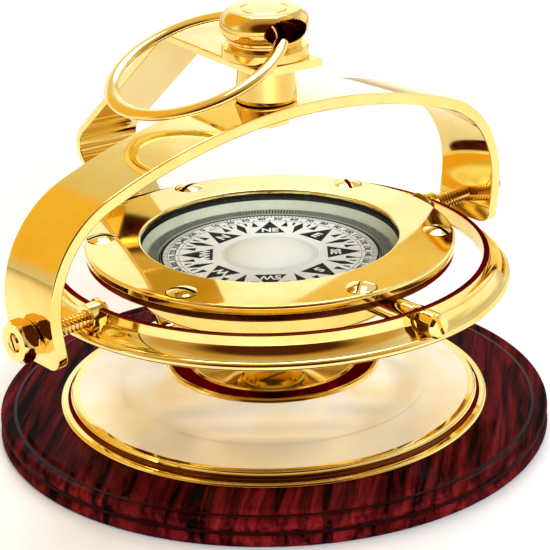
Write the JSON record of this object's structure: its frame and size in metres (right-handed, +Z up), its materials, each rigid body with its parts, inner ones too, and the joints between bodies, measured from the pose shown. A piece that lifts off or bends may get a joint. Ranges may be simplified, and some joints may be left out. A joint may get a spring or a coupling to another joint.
{
  "type": "binnacle compass",
  "caption": "Liquid-filled compass in a two-axis gimbal, hung from an arched brass yoke on a curved support arm over a round lacquered wooden base, with a knob and a ring handle on top.",
  "frame": {"origin": "centre of the underside of the wooden base, on the surface it stands on", "axes": "+Z up through the yoke stud, X along the outer gimbal axis between the yoke legs, Y along the inner gimbal axis with the support arm on the +Y side"},
  "size_m": [0.1898, 0.1837, 0.1295],
  "materials": {
    "polished_brass": "mirror-polished and lacquered yellow brass",
    "lacquered_wood": "dark red mahogany with black streaks under gloss lacquer",
    "felt": "dense green baize",
    "steel": "zinc-plated steel",
    "clear_glass": "flat polished window glass",
    "gasket_rubber": "matt black rubber",
    "liner_enamel": "pale grey-green satin enamel",
    "dial_grey": "satin grey paint with black graduations",
    "card_print": "matt white plastic printed in black",
    "float_plastic": "translucent white moulded plastic",
    "magnet_steel": "dark magnet alloy",
    "ballast": "dull grey cast ballast",
    "diaphragm_metal": "thin spring bronze, satin"
  },
  "bodies": {
    "base": {"felt_pad": "felt", "wood_base": "lacquered_wood", "base_plate": "polished_brass", "base_plate_screws": "steel", "support_arm": "polished_brass", "clamp_boss": "polished_brass", "clamp_bolt": "polished_brass", "clamp_washer": "steel", "clamp_nut": "steel", "top_stud": "polished_brass", "spacer": "polished_brass", "collar": "polished_brass", "knob": "polished_brass", "stud_washer": "polished_brass", "stud_nut": "polished_brass"},
    "handle": {"handle_ring": "polished_brass"},
    "yoke_frame": {"yoke": "polished_brass", "pivot_bolt_left": "polished_brass", "pivot_bolt_right": "polished_brass", "lock_nut_left": "polished_brass"},
    "ring": {"gimbal_ring": "polished_brass", "ring_bush_left": "polished_brass", "ring_bush_right": "polished_brass", "pivot_screw_front": "polished_brass", "pivot_screw_rear": "polished_brass"},
    "compass_bowl": {"bowl": "polished_brass", "trunnion_front": "polished_brass", "trunnion_rear": "polished_brass", "bezel": "polished_brass", "bezel_screws": "polished_brass", "glass": "clear_glass", "glass_gasket": "gasket_rubber", "bowl_liner": "liner_enamel", "graduated_ring": "dial_grey", "pivot_bridge": "polished_brass", "bridge_screws": "polished_brass", "pivot_post": "steel", "counterweight": "ballast", "diaphragm": "diaphragm_metal", "bottom_cover": "polished_brass", "filler_plug": "polished_brass"},
    "card": {"compass_card": "card_print", "float_dome": "float_plastic", "card_float": "float_plastic", "pivot_cap": "steel", "card_magnets": "magnet_steel"}
  },
  "joints": [
    {"name": "yoke_swivel", "type": "hinge", "parent": "base", "child": "yoke_frame", "pos_m": [0, 0, 0.1], "axis": [0, 0, 1], "range_deg": [-74, 60]},
    {"name": "ring_tilt", "type": "hinge", "parent": "yoke_frame", "child": "ring", "pos_m": [0, 0, 0.0525], "axis": [1, 0, 0], "range_deg": [-7, 28]},
    {"name": "bowl_tilt", "type": "hinge", "parent": "ring", "child": "compass_bowl", "pos_m": [0, 0, 0.0525], "axis": [0, 1, 0], "range_deg": [-24, 24]},
    {"name": "card_spin", "type": "hinge", "parent": "compass_bowl", "child": "card", "pos_m": [0, 0, 0.053], "axis": [0, 0, 1], "continuous": true},
    {"name": "handle_swing", "type": "hinge", "parent": "base", "child": "handle", "pos_m": [0, 0, 0.1248], "axis": [0.2079, 0.9781, 0], "range_deg": [-7, 228]}
  ]
}
